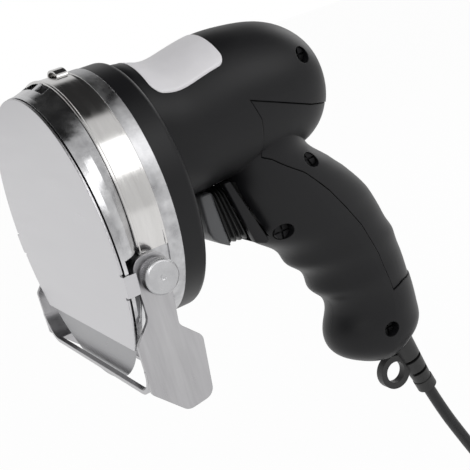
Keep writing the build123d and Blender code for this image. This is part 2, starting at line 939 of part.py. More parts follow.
def trigger_bay():
    half = boot_half_width + boot_gap
    high = trigger_top + part_gap
    low = boot_bottom - boot_gap
    depth = boot_pleat_pitch * boot_pleat_count + part_gap + trigger_travel + bay_clearance
    points = [
        (boot_front - overrun, high),
        (boot_front + depth + boot_lean * (boot_top - high), high),
        (boot_front + depth + boot_lean * (boot_top - low), low),
        (boot_front - overrun, low),
    ]
    room = side_slab(points, -half, half)
    half = switch_half_width
    room += block(-half, half, switch_front, switch_rear, switch_bottom, switch_top)
    return room + disc(plunger_radius + part_gap, boot_front, switch_rear, plunger_level)


def wire_way():
    low = terminal_top - terminal_height
    rear = terminal_front + terminal_depth
    half = terminal_half_width
    way = block(-half, half, terminal_front, rear, low, terminal_top)
    tail = Vector(0, relief_y, relief_level) - relief_direction * relief_root
    height = Vector(0, terminal_front + terminal_depth / 2, low).sub(tail).length
    middle = Plane(origin=tail, x_dir=(1, 0, 0), z_dir=(0, -relief_direction.Y, -relief_direction.Z))
    clamp = middle * Pos(0, 0, height / 2) * Box(2 * wire_hole_radius, 2 * wire_hole_radius, height)
    riser = block(-wire_hole_radius, wire_hole_radius, terminal_front, terminal_front + 2 * wire_hole_radius,
                  terminal_top, barrel_level - can_radius)
    return way + clamp + riser


def relief_pocket():
    wide = relief_flange_radius + fit_gap
    pocket = Pos(0, 0, -relief_root + relief_flange_thickness / 2) * Cylinder(wide, relief_flange_thickness)
    neck_length = relief_root + relief_length
    pocket += Pos(0, 0, -relief_root + neck_length / 2) * Cylinder(relief_root_radius + fit_gap, neck_length)
    return relief_plane * pocket


def screw_recesses():
    cuts = []
    for (y, z), seat in zip(side_places(screw_place_shares), screw_seats):
        cuts.append(cross_pin(screw_recess_radius, seat, overrun, y, z))
        cuts.append(cross_pin(screw_radius, screw_tip, seat, y, z))
    holes = cuts[0]
    for cut in cuts[1:]:
        holes += cut
    return holes


def make_housing_screws():
    screws = []
    slot = screw_slot_width / 2
    for (y, z), seat in zip(side_places(screw_place_shares), screw_seats):
        head_end = seat + screw_head_height
        screw = cross_pin(screw_radius - fit_gap, screw_tip, seat, y, z)
        screw += cross_pin(screw_head_radius, seat, head_end, y, z)
        reach = screw_head_radius
        screw -= block(head_end - screw_slot_depth, overrun, y - reach, y + reach, z - slot, z + slot)
        screw -= block(head_end - screw_slot_depth, overrun, y - slot, y + slot, z - reach, z + reach)
        screws.append(screw)
    return Compound(children=screws)


def make_label():
    grown = make_barrel(-label_thickness)
    skin = grown - make_barrel(0)
    return skin & block(label_inner, label_outer, label_front, label_rear, barrel_level, overrun)


# Switch, terminals and cord clamp
def make_plunger():
    rear_of_boot = boot_front + part_gap + boot_pleat_pitch * boot_pleat_count
    start = rear_of_boot + boot_lean * (boot_top - plunger_level) - boot_core_inset
    return disc(plunger_radius, start, plunger_rear, plunger_level)


def make_switch():
    y_low = switch_front
    half = switch_half_width - fit_gap
    body = block(-half, half, y_low, switch_rear - fit_gap, switch_bottom + fit_gap, switch_top - fit_gap)
    bore_end = plunger_rear + trigger_travel + part_gap
    return body - disc(plunger_radius + part_gap, -overrun, bore_end, plunger_level)


def make_terminals():
    half = terminal_half_width - fit_gap
    low = terminal_top - terminal_height + fit_gap
    rear = terminal_front + terminal_depth - fit_gap
    body = block(-half, half, terminal_front + fit_gap, rear, low, terminal_top - fit_gap)
    for side in (-1, 1):
        for share in (1 / 4, 3 / 4):
            spot = Pos(side * half / 2, terminal_front + terminal_depth * share, terminal_top)
            body -= spot * Cylinder(terminal_screw_radius, terminal_height)
    return body


def make_clamp():
    clamp = Pos(0, 0, -relief_root - clamp_height) * Box(
        2 * (wire_hole_radius - fit_gap), 2 * (wire_hole_radius - fit_gap), clamp_thickness
    )
    clamp -= Pos(0, 0, -relief_root - clamp_height) * Cylinder(cord_radius, overrun)
    return relief_plane * clamp


# Mains lead: the hanging stretch, the coil on the floor, the tail and the plug
lead_level = floor_level + tie_thickness + part_gap + cord_radius
lead_start = relief_end + relief_direction * lead_run
lead_points = [
    (relief_end.X, relief_end.Y, relief_end.Z),
    (lead_start.X, lead_start.Y, lead_start.Z),
    (0, 141.2, -155.6),
    (-1.4, 149.8, -173.4),
    (-8.0, 161.0, -190.6),
    (-20.0, 175.0, -204.6),
    (-32.0, 195.0, lead_level),
    (-32.0, 214.0, lead_level),
]
coil_x = lead_points[-1][0] + coil_radius
coil_y = lead_points[-1][1] + 2 * cord_radius


def tube(points, name):
    vectors = [Vector(*point) for point in points]
    radii = []
    for before, here, after in zip(vectors, vectors[1:], vectors[2:]):
        turn = (here - before).get_angle(after - here)
        shorter = min((here - before).length, (after - here).length)
        radii.append(0.45 * shorter / tan(radians(turn / 2)))
    path = FilletPolyline(*vectors, radius=radii)
    start = path.position_at(0)
    across = Plane(origin=start, z_dir=path.tangent_at(0))
    solid = sweep(across * Circle(cord_radius), path=path)
    share = solid.volume / (pi * cord_radius**2 * path.length)
    print(name, "length", round(path.length, 1), "volume share", round(share, 4))
    print(name, "radii", [round(radius, 1) for radius in radii])
    return solid


def coil_path():
    arcs = []
    x = -coil_radius
    level = lead_level
    count = 2 * coil_turns
    radius = coil_radius - coil_pitch / 4
    arcs.append(Line((x, -2 * cord_radius, level), (x, 0, level)))
    side = 1
    for step in range(2 * count + 1):
        rise = coil_rise if step == count else 0
        far = x + 2 * radius * side
        span = sqrt((2 * radius) ** 2 + rise**2) / 2
        middle = ((x + far) / 2, side * span, level + rise / 2)
        arcs.append(ThreePointArc((x, 0, level), middle, (far, 0, level + rise)))
        x = far
        level += rise
        side = -side
        radius += coil_pitch / 2 if step >= count else -coil_pitch / 2
    arcs.append(Line((x, 0, level), (x, -2 * cord_radius, level)))
    return arcs, x, level


def make_coil():
    arcs, x, level = coil_path()
    path = Wire(Curve(children=[Pos(coil_x, coil_y, 0) * arc for arc in arcs]).edges())
    across = Plane(origin=path.position_at(0), z_dir=path.tangent_at(0))
    solid = sweep(across * Circle(cord_radius), path=path)
    share = solid.volume / (pi * cord_radius**2 * path.length)
    print("coil length", round(path.length, 1), "volume share", round(share, 4))
    print("coil least gap", round(least_gap(arcs), 2))
    return solid, coil_x + x, level


def least_gap(arcs):
    spots = []
    run = 0.0
    for arc in arcs:
        count = max(2, int(arc.length / cord_radius))
        for step in range(count):
            spots.append((run + arc.length * step / count, arc.position_at(step / count)))
        run += arc.length
    least = overrun
    for place, (here, spot) in enumerate(spots):
        for there, other in spots[place + 1:]:
            if there - here > 6 * cord_radius:
                least = min(least, (other - spot).length)
    return least - 2 * cord_radius


def make_tie():
    inner_radius = coil_radius - coil_pitch / 4 - coil_turns * coil_pitch - cord_radius
    sagitta = inner_radius - sqrt(inner_radius**2 - tie_half_width**2)
    inner = coil_radius - coil_turns * coil_pitch - coil_pitch / 2 - cord_radius - sagitta
    outer = coil_radius - coil_pitch / 2 + cord_radius
    low = lead_level - cord_radius
    high = low + 2 * cord_radius + coil_rise
    gap = part_gap
    tie = block(coil_x + inner - gap - tie_thickness, coil_x + outer + gap + tie_thickness,
                coil_y - tie_half_width, coil_y + tie_half_width,
                low - gap - tie_thickness, high + gap + tie_thickness)
    tie -= block(coil_x + inner - gap, coil_x + outer + gap, -overrun, 3 * overrun, low - gap, high + gap)
    return tie


def make_plug(x, y, level):
    plane = Plane(origin=(x, y, level), x_dir=(1, 0, 0), z_dir=(0, -1, 0))
    neck = RectangleRounded(2 * plug_neck_half, 2 * plug_neck_half, plug_round)
    face = RectangleRounded(2 * plug_half_width, 2 * plug_half_height, plug_round)
    body = loft([plane * neck, plane * Pos(0, 0, plug_taper_length) * face])
    body += plane * Pos(0, 0, plug_taper_length) * extrude(face, plug_length - plug_taper_length)
    pins = []
    for side in (-1, 1):
        pin = extrude(Circle(plug_pin_radius), plug_pin_length)
        tip = pin.edges().group_by(Axis.Z)[-1]
        pin = chamfer(tip, plug_pin_radius / 2)
        pins.append(plane * Pos(side * plug_pin_offset, 0, plug_length) * pin)
    return body, Compound(children=pins)


def save(name, solid):
    moved = Pos(0, -hold_y, -hold_level) * solid
    nodes[name] = moved
    export_step(moved, "parts/" + name + ".step")
    print(name, round(moved.volume, 1), len(moved.solids()))


housing_left, housing_right, back_panel = make_housing()
save("housing_left", housing_left)
save("housing_right", housing_right)
save("back_panel", back_panel)
save("housing_screws", make_housing_screws())
save("label_plate", make_label())
save("flange", make_flange())
save("flange_screws", make_flange_screws())
save("gear_head", make_casting())
save("band", make_band())
save("guard_dish", make_dish())
save("face_plate", make_face_plate())
save("pivot_studs", both_sides(make_stud()))
save("motor_can", make_can())
save("motor_end_bracket", make_end_bracket())
save("motor_brushes", make_brushes())
save("switch_body", make_switch())
save("terminal_block", make_terminals())
save("cord_clamp", make_clamp())
save("strain_relief", make_relief())

save("blade", make_blade())
save("blade_screws", make_blade_screws())
save("spindle", make_spindle())
gear_start = chamber_front + part_gap
gear = make_gear(gear_teeth, gear_width, spindle_radius, pi)
save("drive_gear", place_gear(gear, gear_start, -blade_drop))
front = make_bearing(
    spindle_bearing_radius, spindle_radius, spindle_bearing_front, spindle_bearing_width, -blade_drop
)
save("spindle_bearing", front)
tail = make_bearing(
    small_bearing_radius, spindle_tail_radius, tail_bearing_front, small_bearing_width, -blade_drop
)
save("tail_bearing", tail)

pinion = make_gear(pinion_teeth, pinion_width, shaft_radius, pi / pinion_teeth)
save("pinion", place_gear(pinion, gear_start, motor_level))
save("motor_shaft", make_shaft())
save("cooling_fan", make_fan())
save("armature", make_rotor())
save("commutator", make_commutator())
motor_front = make_bearing(
    small_bearing_radius, shaft_radius, motor_front_bearing_front, small_bearing_width, motor_level
)
save("motor_bearing_front", motor_front)
motor_rear = make_bearing(
    small_bearing_radius, shaft_radius, end_bracket_front + race_thickness, small_bearing_width, motor_level
)
save("motor_bearing_rear", motor_rear)

boot = make_boot()
save("trigger", make_trigger())
save("trigger_boot", boot)
save("switch_plunger", make_plunger() - boot)

save("depth_bracket", make_bracket())
save("bracket_washers", both_sides(make_washer()))
save("knob_left", make_knob())
save("knob_right", mirror(make_knob(), about=Plane.YZ))

save("cord", tube(lead_points, "cord"))
coil, tail_x, tail_level = make_coil()
save("cord_coil", coil)
tail_y = coil_y - 2 * cord_radius
plug_level = floor_level + plug_half_height
tail_bend = tail_y - tail_straight
plug_side = tail_x + tail_side_step
tail_middle = (tail_x + plug_side + tail_side_step / 5) / 2
plug_y = tail_bend - tail_slope - tail_straight
tail_points = [
    (tail_x, tail_y, tail_level),
    (tail_x, tail_bend, tail_level),
    (tail_middle, tail_bend - tail_slope / 2, (tail_level + plug_level) / 2),
    (plug_side, plug_y + tail_straight, plug_level),
    (plug_side, plug_y, plug_level),
]
save("cord_tail", tube(tail_points, "cord tail"))
save("cord_tie", make_tie())
plug_body, plug_pins = make_plug(plug_side, plug_y, plug_level)
save("plug_body", plug_body)
save("plug_pins", plug_pins)
print("nodes", len(nodes))
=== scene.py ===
import bpy
import bmesh
import json
from math import asin, cos, pi, radians, sin, sqrt
from mathutils import Matrix, Vector
from mathutils.bvhtree import BVHTree


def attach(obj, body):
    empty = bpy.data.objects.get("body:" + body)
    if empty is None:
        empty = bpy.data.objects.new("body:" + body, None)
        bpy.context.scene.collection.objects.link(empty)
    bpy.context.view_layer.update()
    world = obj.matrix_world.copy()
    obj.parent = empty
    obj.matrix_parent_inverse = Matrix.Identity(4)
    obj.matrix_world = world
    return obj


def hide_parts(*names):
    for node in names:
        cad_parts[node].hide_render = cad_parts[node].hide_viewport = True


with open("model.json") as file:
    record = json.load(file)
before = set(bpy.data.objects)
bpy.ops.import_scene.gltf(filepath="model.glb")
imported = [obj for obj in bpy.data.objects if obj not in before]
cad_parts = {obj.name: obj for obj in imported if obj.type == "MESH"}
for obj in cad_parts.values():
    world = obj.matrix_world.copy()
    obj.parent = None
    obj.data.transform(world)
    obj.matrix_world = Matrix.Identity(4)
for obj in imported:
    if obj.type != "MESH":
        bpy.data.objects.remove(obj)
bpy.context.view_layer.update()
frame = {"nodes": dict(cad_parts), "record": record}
nodes = frame["nodes"]
mm = 0.001
plateCentre = (0, -0.106, 0.05325)  # middle of the face plate, in metres
print("frame loaded,", len(nodes), "nodes")


def addObject(name, data):
    thing = bpy.data.objects.new(name, data)
    bpy.context.scene.collection.objects.link(thing)
    return thing


# Camera at the photograph's angle, set so that the plate's middle falls on its pixel
camera = {
    "azimuth": 65.029,  # degrees, as the two below
    "elevation": 16.193,
    "roll": -16.076,
    "plateInFrame": (60.48, 243.60),  # pixels, as the focal length and the frame's width
    "focal": 1100,
    "frameWidth": 470,
    "distance": 0.372616,  # metres, as the nearest that is seen
    "nearest": 0.01,
    "sensorWidth": 36,  # millimetres
}


def makeCamera():
    azimuth, elevation, roll = (radians(camera[key]) for key in ("azimuth", "elevation", "roll"))
    back = Vector((sin(azimuth) * cos(elevation), -cos(azimuth) * cos(elevation), sin(elevation)))
    level = Vector((cos(azimuth), sin(azimuth), 0))
    upright = back.cross(level)
    right = cos(roll) * level + sin(roll) * upright
    top = -sin(roll) * level + cos(roll) * upright
    half = camera["frameWidth"] / 2
    perPixel = camera["distance"] / camera["focal"]
    across = (camera["plateInFrame"][0] - half) * perPixel
    above = -(camera["plateInFrame"][1] - half) * perPixel
    place = Vector(plateCentre) + camera["distance"] * back - across * right - above * top
    turn = Matrix((right, top, back)).transposed()
    data = bpy.data.cameras.new("photoCamera")
    data.sensor_width = camera["sensorWidth"]
    data.lens = camera["sensorWidth"] * camera["focal"] / camera["frameWidth"]
    data.clip_start = camera["nearest"]
    holder = addObject("photoCamera", data)
    holder.matrix_world = Matrix.Translation(place) @ turn.to_4x4()
    bpy.context.scene.camera = holder


makeCamera()

# Mains lead, in metres: the route's points, with the coil's turns worked out by a loop
lead = {
    "diameter": 0.005,
    "length": 1.66,
    "pointRadius": 0.002,  # small, so that the curve's own box is the tube's
    "fall": [
        (0, 0.023114, -0.062122), (0, 0.027417, -0.075444), (0, 0.0352, -0.0936),
        (-0.0014, 0.0438, -0.1114), (-0.008, 0.055, -0.1286), (-0.020, 0.069, -0.1426),
        (-0.032, 0.089, -0.1494), (-0.032, 0.108, -0.1494),
    ],
    "coilCentre": (0.008, 0.113),
    "coilStart": 0.040,
    "pitch": 0.0059,
    "turns": 4,
    "level": -0.1494,
    "climb": 0.0057,  # from the lower layer of turns to the upper one
    "pointsPerHalfTurn": 8,
    "tail": [
        (0.04505, 0.108, -0.1437), (0.04505, 0.096, -0.1437), (0.04565, 0.082, -0.1445),
        (0.04605, 0.068, -0.1453), (0.04605, 0.056, -0.1453),
    ],
    "roundness": 5,
    "smoothness": 8,
}


def coilPoints():
    points = []
    side = 1
    x = -lead["coilStart"]
    level = lead["level"]
    radius = lead["coilStart"] - lead["pitch"] / 4
    layer = 2 * lead["turns"]
    steps = lead["pointsPerHalfTurn"]
    for half in range(2 * layer + 1):
        middle = x + radius * side
        climb = lead["climb"] if half == layer else 0
        for step in range(steps):
            turn = pi * (step + 0.5) / steps
            points.append((
                lead["coilCentre"][0] + middle - side * radius * cos(turn),
                lead["coilCentre"][1] + side * radius * sin(turn),
                level + climb * (step + 0.5) / steps,
            ))
        x += 2 * radius * side
        level += climb
        side = -side
        radius += lead["pitch"] / 2 if half >= layer else -lead["pitch"] / 2
    return points


def makeLead():
    route = lead["fall"] + coilPoints() + lead["tail"]
    curve = bpy.data.curves.new("mainsLead", "CURVE")
    curve.dimensions = "3D"
    curve.bevel_depth = lead["diameter"] / 2 / lead["pointRadius"]
    curve.bevel_resolution = lead["roundness"]
    curve.resolution_u = lead["smoothness"]
    curve.use_fill_caps = True
    line = curve.splines.new("NURBS")
    line.points.add(len(route) - 1)
    for point, place in zip(line.points, route):
        point.co = (*place, 1)
        point.radius = lead["pointRadius"]
    line.order_u = 3
    line.use_endpoint_u = True
    return addObject("mainsLead", curve)


mainsLead = makeLead()
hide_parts("cord", "cord_coil", "cord_tail")
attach(mainsLead, "housing")
print("lead laid,", len(mainsLead.data.splines[0].points), "route points")

# Finishes: two tones that drift in clouds with the roughness, and a relief of grain or of rings.
# Cloud, grain and rings are scales to the metre, and edge is the eased width in millimetres.
finishes = {
    "black_housing": {
        "tones": ((0.005, 0.005, 0.006), (0.008, 0.008, 0.009)), "rough": (0.36, 0.46), "gloss": 0.26,
        "cloud": 26, "grain": 1900, "relief": 0.035, "edge": 0.5,
    },
    "black_rubber": {
        "tones": ((0.006, 0.006, 0.006), (0.012, 0.012, 0.012)), "rough": (0.34, 0.50),
        "cloud": 40, "grain": 1300, "relief": 0.06, "edge": 0.3,
    },
    "black_flex": {
        "tones": ((0.009, 0.009, 0.010), (0.016, 0.016, 0.017)), "rough": (0.36, 0.50), "gloss": 0.35,
        "cloud": 60, "grain": 900, "relief": 0.05, "stretch": (1, 1, 0.2),
    },
    "black_plug": {
        "tones": ((0.012, 0.012, 0.013), (0.020, 0.020, 0.021)), "rough": (0.36, 0.50),
        "cloud": 50, "grain": 1500, "relief": 0.04, "edge": 0.4,
    },
    "grey_trigger": {
        "tones": ((0.085, 0.087, 0.091), (0.105, 0.107, 0.112)), "rough": (0.34, 0.44),
        "cloud": 38, "grain": 1700, "relief": 0.03, "edge": 0.4,
    },
    "white_label": {
        "tones": ((0.68, 0.67, 0.69), (0.74, 0.73, 0.75)), "rough": (0.38, 0.48),
        "cloud": 60, "grain": 800, "relief": 0.02,
    },
    "cast_alloy": {
        "tones": ((0.34, 0.34, 0.35), (0.66, 0.66, 0.67)), "rough": (0.24, 0.44), "metal": 1,
        "cloud": 150, "grain": 420, "relief": 0.22, "edge": 0.3,
    },
    "brushed_bracket": {
        "tones": ((0.40, 0.395, 0.405), (0.50, 0.495, 0.505)), "rough": (0.26, 0.36), "metal": 1,
        "cloud": 30, "grain": 420, "relief": 0.04, "stretch": (1, 10, 1), "edge": 0.3,
    },
    "mottled_dish": {
        "tones": ((0.34, 0.34, 0.35), (0.72, 0.72, 0.73)), "rough": (0.10, 0.26), "metal": 1,
        "cloud": 110, "grain": 130, "relief": 0.5, "edge": 0.25,
    },
    "satin_steel": {
        "tones": ((0.55, 0.545, 0.56), (0.60, 0.595, 0.61)), "rough": (0.27, 0.38), "metal": 1,
        "cloud": 24, "grain": 500, "relief": 0.025, "stretch": (1, 1, 14), "edge": 0.25,
    },
    "polished_steel": {
        "tones": ((0.62, 0.61, 0.60), (0.70, 0.69, 0.68)), "rough": (0.10, 0.19), "metal": 1,
        "cloud": 60, "grain": 240, "relief": 0.035, "stretch": (1, 8, 1), "edge": 0.25,
    },
    "blade_steel": {
        "tones": ((0.24, 0.24, 0.25), (0.33, 0.33, 0.34)), "rough": (0.24, 0.34), "metal": 1,
        "cloud": 30, "rings": ("Y", 700), "relief": 0.05,
    },
    "turned_steel": {
        "tones": ((0.40, 0.40, 0.41), (0.60, 0.60, 0.61)), "rough": (0.18, 0.32), "metal": 1,
        "cloud": 60, "rings": ("X", 900), "relief": 0.15,
    },
    "black_screws": {
        "tones": ((0.004, 0.004, 0.005), (0.010, 0.010, 0.011)), "rough": (0.40, 0.55), "metal": 0.6,
        "cloud": 200, "grain": 900, "relief": 0.05,
    },
    "machine_steel": {
        "tones": ((0.40, 0.40, 0.41), (0.56, 0.56, 0.57)), "rough": (0.26, 0.42), "metal": 1,
        "cloud": 90, "grain": 700, "relief": 0.06,
    },
    "copper": {
        "tones": ((0.52, 0.24, 0.13), (0.70, 0.35, 0.20)), "rough": (0.26, 0.42), "metal": 1,
        "cloud": 90, "grain": 700, "relief": 0.05,
    },
    "carbon": {
        "tones": ((0.016, 0.016, 0.017), (0.035, 0.035, 0.036)), "rough": (0.48, 0.66),
        "cloud": 90, "grain": 1600, "relief": 0.08,
    },
    "inner_plastic": {
        "tones": ((0.10, 0.10, 0.11), (0.15, 0.15, 0.16)), "rough": (0.42, 0.58),
        "cloud": 50, "grain": 1400, "relief": 0.04,
    },
    "pin_metal": {
        "tones": ((0.62, 0.55, 0.38), (0.74, 0.66, 0.48)), "rough": (0.18, 0.32), "metal": 1,
        "cloud": 120, "grain": 900, "relief": 0.03,
    },
}
ownFinish = {"depth_bracket": "brushed_bracket", "guard_dish": "mottled_dish"}  # nodes with their own look
texture = {
    "cloudDetail": 6,
    "cloudRoughness": 0.6,
    "cloudSpread": (0.3, 0.7),
    "grainDetail": 4,
    "ringDetail": 3,
    "ringDistortion": 2,
    "reliefDepth": 0.2,  # millimetres
    "edgeSamples": 4,
}


def mappingNode(tree, source, setting, value):
    mapping = tree.nodes.new("ShaderNodeMapping")
    mapping.inputs[setting].default_value = value
    tree.links.new(source, mapping.inputs["Vector"])
    return mapping.outputs["Vector"]


def noiseNode(tree, source, scale, detail):
    noise = tree.nodes.new("ShaderNodeTexNoise")
    noise.inputs["Scale"].default_value = scale
    noise.inputs["Detail"].default_value = detail
    tree.links.new(source, noise.inputs["Vector"])
    return noise


def ringNode(tree, source, axis, count):
    rings = tree.nodes.new("ShaderNodeTexWave")
    rings.wave_type = "RINGS"
    rings.rings_direction = axis
    rings.inputs["Scale"].default_value = count
    rings.inputs["Distortion"].default_value = texture["ringDistortion"]
    rings.inputs["Detail"].default_value = texture["ringDetail"]
    tree.links.new(source, rings.inputs["Vector"])
    return rings


def spreadNode(tree, source, low, high):
    spread = tree.nodes.new("ShaderNodeMapRange")
    spread.inputs["From Min"].default_value = texture["cloudSpread"][0]
    spread.inputs["From Max"].default_value = texture["cloudSpread"][1]
    spread.inputs["To Min"].default_value = low
    spread.inputs["To Max"].default_value = high
    tree.links.new(source, spread.inputs["Value"])
    return spread.outputs["Result"]


def makeFinish(name):
    look = finishes[name]
    finish = bpy.data.materials.new(name)
    finish.use_nodes = True
    tree = finish.node_tree
    surface = tree.nodes["Principled BSDF"]
    surface.inputs["Metallic"].default_value = look.get("metal", 0)
    surface.inputs["Specular IOR Level"].default_value = look.get("gloss", 0.5)
    place = tree.nodes.new("ShaderNodeTexCoord")
    centred = mappingNode(tree, place.outputs["Object"], "Location", [-value for value in plateCentre])
    stretched = mappingNode(tree, centred, "Scale", look.get("stretch", (1, 1, 1)))
    cloud = noiseNode(tree, stretched, look["cloud"], texture["cloudDetail"])
    cloud.inputs["Roughness"].default_value = texture["cloudRoughness"]
    if "rings" in look:
        grain = ringNode(tree, centred, *look["rings"])
    else:
        grain = noiseNode(tree, stretched, look["grain"], texture["grainDetail"])
    tone = tree.nodes.new("ShaderNodeMix")
    tone.data_type = "RGBA"
    tone.inputs["A"].default_value = (*look["tones"][0], 1)
    tone.inputs["B"].default_value = (*look["tones"][1], 1)
    tree.links.new(spreadNode(tree, cloud.outputs["Fac"], 0, 1), tone.inputs["Factor"])
    tree.links.new(tone.outputs["Result"], surface.inputs["Base Color"])
    tree.links.new(spreadNode(tree, cloud.outputs["Fac"], *look["rough"]), surface.inputs["Roughness"])
    relief = tree.nodes.new("ShaderNodeBump")
    relief.inputs["Strength"].default_value = look["relief"]
    relief.inputs["Distance"].default_value = texture["reliefDepth"] * mm
    tree.links.new(grain.outputs["Fac"], relief.inputs["Height"])
    if "edge" in look:
        eased = tree.nodes.new("ShaderNodeBevel")
        eased.samples = texture["edgeSamples"]
        eased.inputs["Radius"].default_value = look["edge"] * mm
        tree.links.new(eased.outputs["Normal"], relief.inputs["Normal"])
    tree.links.new(relief.outputs["Normal"], surface.inputs["Normal"])
    return finish


ready = {name: makeFinish(name) for name in finishes}
for part in frame["record"]["subparts"]:
    mesh = nodes[part["node"]].data
    mesh.materials.clear()
    mesh.materials.append(ready[ownFinish.get(part["node"], part["material_slot"])])
mainsLead.data.materials.append(ready["black_flex"])
print("finishes made,", len(ready))


# Tools for the pieces that follow the photograph more closely than their solids, in millimetres
def smoothStep(start, end, value):
    share = min(max((value - start) / (end - start), 0), 1)
    return share * share * (3 - 2 * share)


def fromProfile(points, halfWidth, centre=0):
    form = bmesh.new()
    near = [form.verts.new(((centre - halfWidth) * mm, y * mm, z * mm)) for y, z in points]
    far = [form.verts.new(((centre + halfWidth) * mm, y * mm, z * mm)) for y, z in points]
    form.faces.new(near)
    form.faces.new(far[::-1])
    for step in range(len(points)):
        after = (step + 1) % len(points)
        form.faces.new((near[step], far[step], far[after], near[after]))
    bmesh.ops.recalc_face_normals(form, faces=form.faces)
    return form


def roundEdges(form, width, segments=4, sharpest=20):
    edges = [edge for edge in form.edges if edge.calc_face_angle(0) > radians(sharpest)]
    bmesh.ops.bevel(form, geom=edges, offset=width * mm, segments=segments, profile=0.5, affect="EDGES")


def asMesh(form, name):
    mesh = bpy.data.meshes.new(name)
    form.to_mesh(mesh)
    form.free()
    return mesh


def finishPiece(name, mesh, body, slot, stands, sharp=35):
    if sharp is not None:
        mesh.polygons.foreach_set("use_smooth", [True] * len(mesh.polygons))
        mesh.set_sharp_from_angle(angle=radians(sharp))
    mesh.materials.clear()
    mesh.materials.append(ready[slot])
    piece = addObject(name, mesh)
    if stands:
        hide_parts(*stands)
    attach(piece, body)
    return piece


# Housing shells: the barrel a little shorter and the grip's back a little fuller
shell = {
    "barrelShift": -5.0,
    "barrelFrom": -40,
    "barrelSpan": 48.5,
    "barrelPast": 1.2,  # share of the span that the shift may reach
    "barrelLevels": (47, 60),
    "topDrop": -1.4,
    "topLevels": (84, 104),
    "gripBack": [
        (58, 0.0), (50, 1.6), (42, 3.4), (30, 4.2), (18, 3.6), (4, 2.4), (-10, 1.6), (-24, 0.4), (-40, -0.6),
    ],
    "gripFront": -38,  # at the level below, leaning by the slope
    "gripLevel": 30,
    "gripSlope": 0.42,
    "gripDepth": 44,
    "gripPast": 1.1,
    "buttLift": 4.2,
    "buttLevels": (-18, -38),
    "buttRear": (-6, 14),
    "cornerShift": (-1.2, -0.8),
    "cornerFront": (-2, -14),
    "cornerLevels": (-20, -34),
}


def backPush(level):
    rows = shell["gripBack"]
    if level >= rows[0][0]:
        return rows[0][1]
    for (high, push), (low, nextPush) in zip(rows, rows[1:]):
        if level >= low:
            return nextPush + (push - nextPush) * (level - low) / (high - low)
    return rows[-1][1]


def shapeShell(place):
    x, y, z = (value / mm for value in place)
    onBarrel = smoothStep(*shell["barrelLevels"], z)
    along = min(max((y - shell["barrelFrom"]) / shell["barrelSpan"], 0), shell["barrelPast"])
    gripFront = shell["gripFront"] + shell["gripSlope"] * (shell["gripLevel"] - z)
    behind = min(max((y - gripFront) / shell["gripDepth"], 0), shell["gripPast"])
    corner = smoothStep(*shell["cornerFront"], y) * smoothStep(*shell["cornerLevels"], z)
    moved = shell["barrelShift"] * onBarrel * along + backPush(z) * behind * (1 - onBarrel)
    moved += shell["cornerShift"][0] * corner
    lifted = shell["topDrop"] * along * smoothStep(*shell["topLevels"], z)
    lifted += shell["buttLift"] * smoothStep(*shell["buttLevels"], z) * smoothStep(*shell["buttRear"], y)
    lifted += shell["cornerShift"][1] * corner
    return Vector((x * mm, (y + moved) * mm, (z + lifted) * mm))


for node, name, slot in (
    ("housing_left", "leftShell", "black_housing"),
    ("housing_right", "rightShell", "black_housing"),
    ("back_panel", "backPanel", "black_housing"),
    ("housing_screws", "shellScrews", "black_screws"),
):
    mesh = nodes[node].data.copy()
    mesh.name = name
    for vertex in mesh.vertices:
        vertex.co = shapeShell(vertex.co)
    finishPiece(name, mesh, "housing", slot, [node], sharp=None)
print("shells shaped")

# Trigger
triggerForm = {
    "profile": [
        (-55.8, 52.2), (-56.0, 44.0), (-55.9, 38.4), (-54.9, 35.4), (-52.8, 33.2),
        (-48.8, 30.6), (-49.7, 38.0), (-50.4, 46.5), (-50.6, 52.2),
    ],
    "halfWidth": 9.0,
    "round": 1.1,
    "sharpest": 40,
}


def makeTrigger():
    form = fromProfile(triggerForm["profile"], triggerForm["halfWidth"])
    roundEdges(form, triggerForm["round"], sharpest=triggerForm["sharpest"])
    finishPiece("triggerButton", asMesh(form, "triggerButton"), "trigger_unit", "grey_trigger", ["trigger"])


makeTrigger()

# Pleated boot behind the trigger, its folds fanning out downwards
bootForm = {
    "frontTop": (-51.4, 53.0),
    "frontBottom": (-49.4, 30.8),
    "rearTop": (-46.2, 53.0),
    "rearBottom": (-40.4, 29.6),
    "folds": 4,
    "foldShape": (0, 0.7, 1, 0.7),  # from a valley to a crest and back
    "foldDepth": 1.9,
    "halfWidth": 9.1,
    "cornerShare": 0.10,
    "smoothing": 2,
}


def bootLoop(form, share, inset):
    top = [a + (b - a) * share for a, b in zip(bootForm["frontTop"], bootForm["rearTop"])]
    bottom = [a + (b - a) * share for a, b in zip(bootForm["frontBottom"], bootForm["rearBottom"])]
    half = bootForm["halfWidth"] - inset
    reach = sqrt((top[0] - bottom[0]) ** 2 + (top[1] - bottom[1]) ** 2)
    low, high = inset / reach, 1 - inset / reach
    corner = bootForm["cornerShare"]
    loop = []
    for side, level in (
        (-1, low + corner), (-1 + corner, low), (1 - corner, low), (1, low + corner),
        (1, high - corner), (1 - corner, high), (-1 + corner, high), (-1, high - corner),
    ):
        y = bottom[0] + (top[0] - bottom[0]) * level
        z = bottom[1] + (top[1] - bottom[1]) * level
        loop.append(form.verts.new((side * half * mm, y * mm, z * mm)))
    return loop


